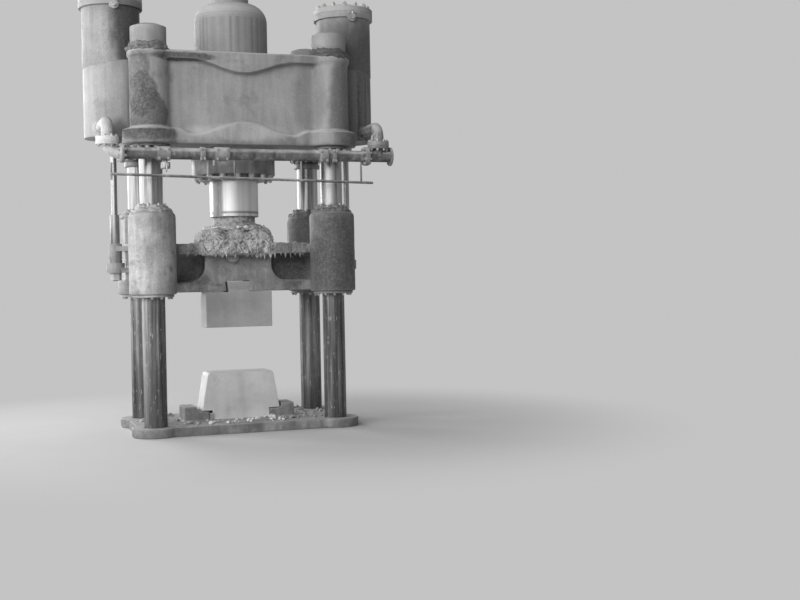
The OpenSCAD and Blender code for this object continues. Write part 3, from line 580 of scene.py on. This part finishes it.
def addBolt(bm, place, axis, across, height, turn=0.0, washer=True, stud=0.0):
    spec = boltSpec
    at = frameAt(place, axis) @ Matrix.Rotation(turn, 4, "Z")
    lift = 0.0
    if washer:
        thick = height * spec["washerThick"]
        bmesh.ops.create_cone(bm, cap_ends=True, segments=20, radius1=across * spec["washerFoot"],
                              radius2=across * spec["washerTop"], depth=thick,
                              matrix=at @ Matrix.Translation((0, 0, thick / 2)))
        lift = thick * spec["washerSeat"]
    radius = across / 2 / math.cos(math.pi / 6)
    head = bmesh.ops.create_cone(bm, cap_ends=True, segments=6, radius1=radius, radius2=radius, depth=height,
                                 matrix=at @ Matrix.Translation((0, 0, lift + height / 2)))
    axisWorld = (at.to_3x3() @ Vector((0, 0, 1))).normalized()
    top = max(v.co.dot(axisWorld) for v in head["verts"])
    upper = [v for v in head["verts"] if v.co.dot(axisWorld) > top - 1e-5]
    rim = [e for e in bm.edges if e.verts[0] in upper and e.verts[1] in upper]
    bmesh.ops.bevel(bm, geom=rim, offset=across * spec["bevel"], segments=2, profile=0.5, affect="EDGES",
                    material=-1)
    if stud > 0:
        middle = lift + height + stud / 2 - spec["studSink"]
        bmesh.ops.create_cone(bm, cap_ends=True, segments=14, radius1=across * spec["studFoot"],
                              radius2=across * spec["studTop"], depth=stud,
                              matrix=at @ Matrix.Translation((0, 0, middle)))


def addBoltRing(bm, centre, axis, radius, count, start=0.0, **bolt):
    at = frameAt(centre, axis)
    for i in range(count):
        turn = start + 2 * math.pi * i / count
        addBolt(bm, at @ Vector((radius * math.cos(turn), radius * math.sin(turn), 0)), axis, turn=turn, **bolt)


def addGuideBolts():
    spec = {"gland": {"radius": 0.142, "count": 8, "start": 0.4, "across": 0.026, "height": 0.018, "stud": 0.008},
            "wiper": {"radius": 0.19, "count": 12, "start": 0.2, "across": 0.026, "height": 0.014, "stud": 0.008}}
    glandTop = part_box("guide_glands")[1].z
    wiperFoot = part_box("guide_wipers")[0].z
    bm = bmesh.new()
    for x, y in corners:
        addBoltRing(bm, (x, y, glandTop), up, **spec["gland"])
        addBoltRing(bm, (x, y, wiperFoot), down, **spec["wiper"])
    addPiece("guideBolts", bm, "machined", "crosshead")


def addHeadBolts():
    spec = {"ringFoot": 3.015, "glandStep": 2.76,
            "ring": {"radius": 0.172, "count": 12, "start": 0.3, "across": 0.046, "height": 0.032, "stud": 0.012},
            "gland": {"radius": 0.405, "count": 16, "start": 0.1, "across": 0.06, "height": 0.042, "stud": 0.02}}
    bm = bmesh.new()
    for x, y in corners:
        addBoltRing(bm, (x, y, spec["ringFoot"]), down, **spec["ring"])
    addBoltRing(bm, (0, 0, spec["glandStep"]), down, **spec["gland"])
    addPiece("headBolts", bm, "machined", "frame")


def addLiftBolts():
    spec = {"coverHeight": 0.06, "glandLip": 0.03,
            "cover": {"radius": 0.285, "count": 14, "across": 0.046, "height": 0.03, "stud": 0.014},
            "gland": {"radius": 0.095, "count": 6, "start": 0.3, "across": 0.026, "height": 0.016, "stud": 0.008}}
    bm = bmesh.new()
    for sx, side in ((-1, "left"), (1, "right")):
        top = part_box("lift_cylinder_" + side)[1].z + spec["coverHeight"]
        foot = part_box("lift_saddle_" + side)[0].z - spec["glandLip"]
        addBoltRing(bm, (sx * liftX, 0, top), up, **spec["cover"])
        addBoltRing(bm, (sx * liftX, 0, foot), down, **spec["gland"])
    addPiece("liftBolts", bm, "machined", "frame")


def addPipeBolts():
    spec = {"joints": (-1.308, 1.283), "flange": 0.022, "jointRadius": 0.082,
            "branches": (-1.445, 1.425), "branchZ": 3.04, "branchFlange": 0.04, "branchRadius": 0.094,
            "ring": {"count": 8, "start": math.pi / 8, "across": 0.027, "height": 0.016, "washer": False,
                     "stud": 0.008},
            "clamps": ((-0.89, 0.14), (-0.49, 0.056), (-0.29, 0.156), (0.802, 0.1), (0.918, 0.044)),
            "clampRadius": 0.072, "clampEnds": (-0.32, 0.32), "clampTilts": (-0.75, 0.5),
            "clampBolt": {"across": 0.024, "height": 0.016, "turn": 0.3, "stud": 0.01}}
    bm = bmesh.new()
    for side in (-1, 1):
        for x in spec["joints"]:
            place = (x + side * spec["flange"], pipeY, pipeZ)
            addBoltRing(bm, place, (side, 0, 0), spec["jointRadius"], **spec["ring"])
        for x in spec["branches"]:
            place = (x, pipeY, spec["branchZ"] + side * spec["branchFlange"])
            addBoltRing(bm, place, (0, 0, side), spec["branchRadius"], **spec["ring"])
    for x, width in spec["clamps"]:
        for end in spec["clampEnds"]:
            for tilt in spec["clampTilts"]:
                out = Vector((0, -math.cos(tilt), math.sin(tilt)))
                place = Vector((x + end * width, pipeY, pipeZ)) + out * spec["clampRadius"]
                addBolt(bm, place, out, **spec["clampBolt"])
    addPiece("pipeBolts", bm, "machined", "frame")


def addLugBolts():
    spec = {"x": 1.175, "heights": (1.742, 1.974), "ys": (-0.05, 0.05), "halfArm": 0.027,
            "bolt": {"across": 0.03, "height": 0.018, "turn": 0.2}}
    bm = bmesh.new()
    for sx in (-1, 1):
        for z in spec["heights"]:
            for y in spec["ys"]:
                for end in (-1, 1):
                    addBolt(bm, (sx * spec["x"], y, z + end * spec["halfArm"]), (0, 0, end), **spec["bolt"])
    addPiece("lugBolts", bm, "machined", "crosshead")


addGuideBolts()
addHeadBolts()
addLiftBolts()
addPipeBolts()
addLugBolts()
print("bolts made")


# Forge scale that has settled and baked on the beam. A dome is its size, height and shift.

swellSpec = {
    "wave": 0.036, "lumps": 0.01, "grit": 0.007, "creaseWidth": 0.09, "creaseDepth": 0.022,
    "domes": ((0.14, 0.2, 0.0), (0.055, 0.22, 4.0), (0.022, 0.3, 9.0)),
}


def dome(p, size):
    # Rounded lumps with tight creases between them
    distances = noise.voronoi(p / size)[0]
    return size * max(0.0, 1 - (distances[0] / 0.8) ** 2)


def crustSwell(p):
    spec = swellSpec
    swell = noise.noise(p * 4.5) * spec["wave"] + noise.fractal(p * 22, 0.75, 2.1, 3) * spec["lumps"]
    swell += noise.fractal(p * 75, 0.6, 2.1, 3) * spec["grit"]
    crease = abs(noise.noise(Vector((p.x * 8, p.y * 8, p.z * 3 + 7))))
    swell -= spec["creaseDepth"] * max(0.0, 1 - crease / spec["creaseWidth"])
    for size, height, shift in spec["domes"]:
        place = p + Vector((shift, shift * 0.6, 1))
        swell += dome(place, size) * height * max(0.0, 0.7 + 1.4 * noise.noise(place * 6))
    return swell


def join(bm, part):
    mesh = bpy.data.meshes.new("part")
    part.to_mesh(mesh)
    part.free()
    bm.from_mesh(mesh)
    bpy.data.meshes.remove(mesh)


def addHeap(bm, spec):
    # The upper half of a ball, squared off and swollen into lumps
    heap = bmesh.new()
    bmesh.ops.create_uvsphere(heap, u_segments=spec["steps"], v_segments=spec["rows"], radius=1)
    bmesh.ops.delete(heap, geom=[v for v in heap.verts if v.co.z < -0.001], context="VERTS")
    bmesh.ops.holes_fill(heap, edges=[e for e in heap.edges if e.is_boundary], sides=0)
    half = spec["half"]
    for v in heap.verts:
        d = v.co.normalized()
        reach = sum(abs(c) ** spec["power"] for c in d) ** (-1 / spec["power"])
        p = Vector((d.x * half[0], d.y * half[1], d.z * half[2])) * reach
        out = Vector((d.x / half[0], d.y / half[1], d.z / half[2])).normalized()
        onBase = d.z < 0.001
        p += out * (crustSwell(p + Vector((spec["seed"], 0, 0))) - spec["settle"])
        flare = 1 + spec["skirt"] * max(0.0, 1 - p.z / half[2]) ** 2
        p = Vector((p.x * flare, p.y * flare, p.z))
        p.z = spec["foot"] if onBase else max(p.z, 0.0)
        v.co = p + Vector(spec["centre"])
    join(bm, heap)


rockSpec = {
    "squash": ((0.75, 1.25), (0.7, 1.2), (0.45, 0.9)), "turn": 6.28, "tilt": 0.5, "swell": 0.45, "lumps": 1.3,
}


def addRock(bm, place, size, rng):
    spec = rockSpec
    rock = bmesh.ops.create_icosphere(bm, subdivisions=2, radius=size)
    squash = Vector([rng.uniform(low, high) for low, high in spec["squash"]])
    turn = Matrix.Rotation(rng.uniform(0, spec["turn"]), 3, "Z")
    turn = turn @ Matrix.Rotation(rng.uniform(-spec["tilt"], spec["tilt"]), 3, "X")
    shift = Vector((rng.uniform(0, 50), rng.uniform(0, 50), 0))
    for v in rock["verts"]:
        swell = 1 + spec["swell"] * noise.noise(v.co / size * spec["lumps"] + shift)
        v.co = turn @ Vector((v.co.x * squash.x, v.co.y * squash.y, v.co.z * squash.z)) * swell + Vector(place)


def addScaleHeap():
    spec = {"heap": {"steps": 330, "rows": 180, "half": (0.395, 0.318, 0.18), "power": 5.5, "seed": 3.0,
                     "settle": 0.024, "skirt": 0.05, "foot": -0.004, "centre": (-0.015, 0, beamTop)},
            "crown": {"steps": 200, "rows": 80, "half": (0.3, 0.285, 0.07), "power": 3.0, "seed": 11.0,
                      "settle": 0.024, "skirt": 0.0, "foot": -0.004, "centre": (0, 0, beamTop + 0.155)},
            "crumbs": 70, "crumbX": 0.66, "crumbY": (0.17, 0.3), "crumbLift": 0.004, "crumbSize": (0.01, 0.026),
            "lumps": 40, "lumpOut": (0.24, 0.33), "lumpLift": 0.185, "lumpSize": (0.012, 0.034)}
    rng = random.Random(7)
    bm = bmesh.new()
    addHeap(bm, spec["heap"])
    addHeap(bm, spec["crown"])
    for i in range(spec["crumbs"]):
        x = rng.uniform(-spec["crumbX"], spec["crumbX"])
        y = rng.choice((-1, 1)) * rng.uniform(*spec["crumbY"])
        addRock(bm, (x, y, beamTop + spec["crumbLift"]), rng.uniform(*spec["crumbSize"]), rng)
    # Lumps on top of the heap, a few of them against the ram's foot
    for i in range(spec["lumps"]):
        a = rng.uniform(0, 2 * math.pi)
        out = rng.uniform(*spec["lumpOut"])
        place = (math.cos(a) * out - 0.01, math.sin(a) * out * 0.9, beamTop + spec["lumpLift"])
        addRock(bm, place, rng.uniform(*spec["lumpSize"]), rng)
    addPiece("scaleHeap", bm, "crust", "crosshead", 50)


def makeTeeth(spec, rng):
    teeth = []
    for low, high, gap, short, long in spec["stretches"]:
        x = low
        while x < high:
            width = rng.uniform(*(spec["wide"] if x < spec["fineFrom"] else spec["fine"]))
            teeth.append((x, width, rng.uniform(short, long)))
            x += gap * rng.uniform(0.5, 1.8)
    return teeth


def toothAt(x, teeth):
    reach = 0.0
    for centre, half, length in teeth:
        near = 1 - abs(x - centre) / half
        if near > 0:
            reach = max(reach, length * near ** 0.8)
    return reach


def addFlangeCrust():
    # A baked skin on the flange's front edge that hangs down in teeth
    spec = {"half": 0.73, "steps": 520, "rows": 28, "thin": 0.008, "thick": 0.03, "depth": 0.03,
            "middle": -0.05, "innerHalf": 0.37, "fade": 0.03, "lip": 0.006, "innerLip": 0.03,
            "hang": 0.004, "innerHang": 0.016, "hangWave": 0.008, "settle": 0.01, "least": 0.002,
            "taper": 0.03, "taperFront": 0.012, "taperBack": 0.014,
            # Start, end, gap, shortest and longest tooth of each stretch
            "stretches": ((-0.72, -0.4, 0.06, 0.006, 0.02), (-0.4, 0.2, 0.08, 0.006, 0.03),
                          (0.18, 0.32, 0.04, 0.02, 0.05), (0.33, 0.73, 0.05, 0.015, 0.06)),
            "wide": (0.012, 0.03), "fine": (0.009, 0.022), "fineFrom": 0.32}
    teeth = makeTeeth(spec, random.Random(12))
    bm = bmesh.new()
    bmesh.ops.create_grid(bm, x_segments=spec["steps"], y_segments=spec["rows"], size=1)
    depth = bm.verts.layers.float.new("depth")
    for v in bm.verts:
        x = spec["half"] * v.co.x
        inner = 1 / (1 + math.exp((abs(x - spec["middle"]) - spec["innerHalf"]) / spec["fade"]))
        thick = spec["thin"] + (spec["thick"] - spec["thin"]) * inner
        hang = spec["hang"] + spec["innerHang"] * inner + spec["hangWave"] * noise.noise(Vector((x * 25, 0, 4)))
        foot = flangeFoot - max(0.0, hang) - toothAt(x, teeth)
        top = beamTop + spec["lip"] + spec["innerLip"] * inner
        z = top + (foot - top) * (1 - v.co.y) / 2
        swell = (crustSwell(Vector((x + 5, flangeFront + 2, z + 1))) - spec["settle"]) * (0.3 + 0.7 * inner)
        taper = min(1.0, (z - foot) / spec["taper"]) ** 0.5 if z < flangeFoot else 1.0
        thick = max(spec["least"], thick + swell)
        v.co = (x, flangeFront - thick * taper + spec["taperFront"] * (1 - taper), z)
        v[depth] = spec["depth"] - spec["taperBack"] * (1 - taper)
    moved = bmesh.ops.extrude_face_region(bm, geom=bm.faces[:], use_keep_orig=True)
    for v in (item for item in moved["geom"] if isinstance(item, bmesh.types.BMVert)):
        v.co.y = flangeFront + v[depth]
    addPiece("flangeCrust", bm, "crust", "crosshead", 50)


def addCollar(bm, centre, ringRadius, tube, squash, lump):
    # A lumpy ring of old grease
    ring = bmesh.new()
    upright = Matrix.Translation((ringRadius, 0, 0)) @ Matrix.Rotation(math.pi / 2, 4, "X")
    section = bmesh.ops.create_circle(ring, cap_ends=False, segments=12, radius=tube, matrix=upright)
    bmesh.ops.spin(ring, geom=section["verts"] + ring.edges[:], cent=(0, 0, 0), axis=(0, 0, 1), angle=2 * math.pi,
                   steps=120, use_merge=True)
    for v in ring.verts:
        flat = Vector((v.co.x, v.co.y, 0)).normalized()
        out = v.co - flat * ringRadius
        swell = 1 + lump * (noise.noise(v.co * 24 + Vector(centre) * 5) + 0.5 * noise.noise(v.co * 50))
        swell *= 1 + 0.7 * noise.noise(v.co * 9 + Vector(centre) * 3)
        v.co = flat * ringRadius + Vector((out.x, out.y, out.z * squash)) * swell + Vector(centre)
    join(bm, ring)


def addGuideGrease():
    # Lift over its seat, radius, thickness, squash and lumpiness of each collar
    spec = {"foot": (0.006, 0.186, 0.028, 0.9, 0.6), "top": (0.002, 0.13, 0.014, 0.8, 0.8),
            "side": (-0.03, 0.163, 0.013, 2.2, 0.9)}
    low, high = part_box("guide_glands")
    bm = bmesh.new()
    for x, y in corners:
        for collar, z in (("foot", low.z), ("top", high.z), ("side", high.z)):
            lift, *ring = spec[collar]
            addCollar(bm, (x, y, z + lift), *ring)
    addPiece("guideGrease", bm, "grease", "crosshead", 60)


def addNutGrease():
    spec = {"foot": (0.004, 0.2, 0.026, 1.1, 0.6), "side": (0.04, 0.186, 0.018, 2.2, 0.35)}
    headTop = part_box("head_casting")[1].z
    bm = bmesh.new()
    for x, y in corners:
        for lift, *ring in spec.values():
            addCollar(bm, (x, y, headTop + lift), *ring)
    addPiece("nutGrease", bm, "grime", "frame", 60)


def addBedDebris():
    # Crumbs all over the bed, but not under the tool, on the columns or past the rounded corners
    spec = {"count": 220, "reach": (1.1, 0.62), "tool": (0.66, 0.19), "columnRoom": 0.15, "corner": (0.95, 0.42),
            "sizes": (0.005, 0.008, 0.012, 0.018, 0.026), "lift": 0.35}
    rng = random.Random(31)
    bm = bmesh.new()
    placed = 0
    while placed < spec["count"]:
        x, y = (rng.uniform(-reach, reach) for reach in spec["reach"])
        underTool = abs(x) < spec["tool"][0] and abs(y) < spec["tool"][1]
        onColumn = any(math.hypot(x - cx, y - cy) < spec["columnRoom"] for cx, cy in corners)
        pastCorner = abs(x) > spec["corner"][0] and abs(y) > spec["corner"][1]
        if underTool or onColumn or pastCorner:
            continue
        size = rng.choice(spec["sizes"])
        addRock(bm, (x, y, bedTop + size * spec["lift"]), size, rng)
        placed += 1
    addPiece("bedDebris", bm, "crust", "frame", 30)


addScaleHeap()
addFlangeCrust()
addGuideGrease()
addNutGrease()
addBedDebris()
print("scale and grease made")


# Small fittings

def addRod(bm, start, end, radius, segments):
    start, end = Vector(start), Vector(end)
    axis = end - start
    bmesh.ops.create_cone(bm, cap_ends=True, segments=segments, radius1=radius, radius2=radius, depth=axis.length,
                          matrix=frameAt((start + end) / 2, axis))


def addFittings():
    # Start, end, radius and sides of each rod
    spec = {"reliefCock": (((0, -0.3, 4.53), (0, -0.345, 4.53), 0.05, 28),
                           ((0, -0.34, 4.53), (0, -0.4, 4.53), 0.026, 20),
                           ((0, -0.385, 4.5), (0, -0.385, 4.575), 0.015, 16),
                           ((-0.035, -0.385, 4.575), (0.035, -0.385, 4.575), 0.009, 16)),
            "drain": (((-0.869, -0.89, 2.798), (-0.869, -0.905, 2.798), 0.02, 20),
                      ((-0.869, -0.9, 2.8), (-0.869, -0.905, 2.74), 0.007, 16),
                      ((-0.869, -0.81, 2.775), (-0.869, -0.81, 2.73), 0.014, 16),
                      ((-0.37, -0.81, 2.86), (-0.37, -0.81, 2.812), 0.01, 16)),
            "knob": (-0.37, -0.81, 2.808), "knobRadius": 0.016}
    bm = bmesh.new()
    for sx in (-1, 1):
        middle = Vector((sx * liftX, 0, 0))
        for start, end, radius, sides in spec["reliefCock"]:
            addRod(bm, middle + Vector(start), middle + Vector(end), radius, sides)
    for start, end, radius, sides in spec["drain"]:
        addRod(bm, start, end, radius, sides)
    bmesh.ops.create_uvsphere(bm, u_segments=20, v_segments=12, radius=spec["knobRadius"],
                              matrix=Matrix.Translation(spec["knob"]))
    addPiece("smallFittings", bm, "machined", "frame")


def addBranchSeats():
    # Cast seats between the round saddles and the flat ends of the steam branches
    spec = {"padRadius": 0.075, "front": -0.262, "back": -0.19, "frontRadius": 0.074, "backRadius": 0.09,
            "bevel": 0.006}
    bm = bmesh.new()
    for side in ("left", "right"):
        low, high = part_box("steam_branch_" + side)
        place = ((low.x + high.x) / 2, (spec["front"] + spec["back"]) / 2, high.z - spec["padRadius"])
        seat = bmesh.ops.create_cone(bm, cap_ends=True, segments=48, radius1=spec["frontRadius"],
                                     radius2=spec["backRadius"], depth=spec["back"] - spec["front"],
                                     matrix=frameAt(place, (0, 1, 0)))
        front = [v for v in seat["verts"] if v.co.y < spec["front"] + 0.001]
        rim = [e for e in bm.edges if e.verts[0] in front and e.verts[1] in front]
        bmesh.ops.bevel(bm, geom=rim, offset=spec["bevel"], segments=3, profile=0.5, affect="EDGES", material=-1)
    addPiece("branchSeats", bm, "lift", "frame")


addFittings()
addBranchSeats()
print("fittings made")


# Floor, light and backdrop

backTone = 0.55


def seenRay(tree):
    # 1 for rays from the camera and for those that metal or glass sends on
    path = tree.nodes.new("ShaderNodeLightPath")
    total = path.outputs["Is Camera Ray"]
    for kind in ("Is Glossy Ray", "Is Transmission Ray"):
        larger = tree.nodes.new("ShaderNodeMath")
        larger.operation = "MAXIMUM"
        tree.links.new(total, larger.inputs[0])
        tree.links.new(path.outputs[kind], larger.inputs[1])
        total = larger.outputs[0]
    return total


def addFloor():
    # Near the press a plain pale floor, far away the backdrop's own tone
    spec = {"near": 1.7, "far": 5.2, "size": 90, "dark": 0.5, "light": 0.54, "rough": 0.9}
    g = Graph("studioFloor")
    distance = g.tree.nodes.new("ShaderNodeVectorMath")
    distance.operation = "LENGTH"
    g.link(g.place, distance.inputs[0])
    g.shade(g.grey(g.noise(0.6, detail=4), [(0.3, spec["dark"]), (0.7, spec["light"])]), spec["rough"])
    far = g.tree.nodes.new("ShaderNodeEmission")
    far.inputs["Color"].default_value = plain(backTone)
    blend = g.tree.nodes.new("ShaderNodeMixShader")
    fade = g.spread(distance.outputs["Value"], spec["near"], spec["far"])
    g.link(g.calc("MULTIPLY", fade, seenRay(g.tree)), blend.inputs[0])
    g.link(g.shader.outputs[0], blend.inputs[1])
    g.link(far.outputs[0], blend.inputs[2])
    g.link(blend.outputs[0], g.out.inputs[0])
    bm = bmesh.new()
    bmesh.ops.create_grid(bm, x_segments=1, y_segments=1, size=spec["size"])
    mesh = bpy.data.meshes.new("floor")
    bm.to_mesh(mesh)
    bm.free()
    mesh.materials.append(g.material)
    floor = bpy.data.objects.new("floor", mesh)
    scene.collection.objects.link(floor)


def addWorld():
    # Lighter on the left than on the right, and the backdrop's plain tone for the camera
    spec = {"left": 0.36, "right": 0.1}
    world = bpy.data.worlds.new("studio")
    scene.world = world
    world.use_nodes = True
    tree = world.node_tree
    background = tree.nodes["Background"]
    parts = tree.nodes.new("ShaderNodeSeparateXYZ")
    tree.links.new(tree.nodes.new("ShaderNodeTexCoord").outputs["Generated"], parts.inputs[0])
    side = tree.nodes.new("ShaderNodeMapRange")
    for key, number in (("From Min", -1), ("From Max", 1), ("To Min", spec["left"]), ("To Max", spec["right"])):
        side.inputs[key].default_value = number
    tree.links.new(parts.outputs["X"], side.inputs["Value"])
    seen = tree.nodes.new("ShaderNodeBackground")
    seen.inputs["Color"].default_value = plain(backTone)
    blend = tree.nodes.new("ShaderNodeMixShader")
    tree.links.new(side.outputs["Result"], background.inputs["Color"])
    tree.links.new(seenRay(tree), blend.inputs[0])
    tree.links.new(background.outputs[0], blend.inputs[1])
    tree.links.new(seen.outputs[0], blend.inputs[2])
    tree.links.new(blend.outputs[0], tree.nodes["World Output"].inputs["Surface"])


def addLamp(name, azimuth, distance, height, aim, size, power):
    # The azimuth is counted from the press's front towards its left
    turn = math.radians(azimuth)
    place = Vector((-math.sin(turn) * distance, -math.cos(turn) * distance, height))
    data = bpy.data.lights.new(name, "AREA")
    data.shape = "RECTANGLE"
    data.size, data.size_y = size
    data.energy = power
    obj = bpy.data.objects.new(name, data)
    scene.collection.objects.link(obj)
    facing = (place - Vector((0, 0, aim))).to_track_quat("Z", "Y").to_matrix().to_4x4()
    obj.matrix_world = Matrix.Translation(place) @ facing


lampSpecs = {
    "frontWindow": {"azimuth": 42, "distance": 12, "height": 6.2, "aim": 2.6, "size": (13, 6.4), "power": 1300},
    "leftWindow": {"azimuth": 100, "distance": 10, "height": 5.0, "aim": 2.6, "size": (9, 6), "power": 560},
    "rearWindow": {"azimuth": 152, "distance": 9, "height": 4.6, "aim": 2.8, "size": (5.5, 6), "power": 600},
}

addFloor()
addWorld()
for name, spec in lampSpecs.items():
    addLamp(name, **spec)
print("stage made")
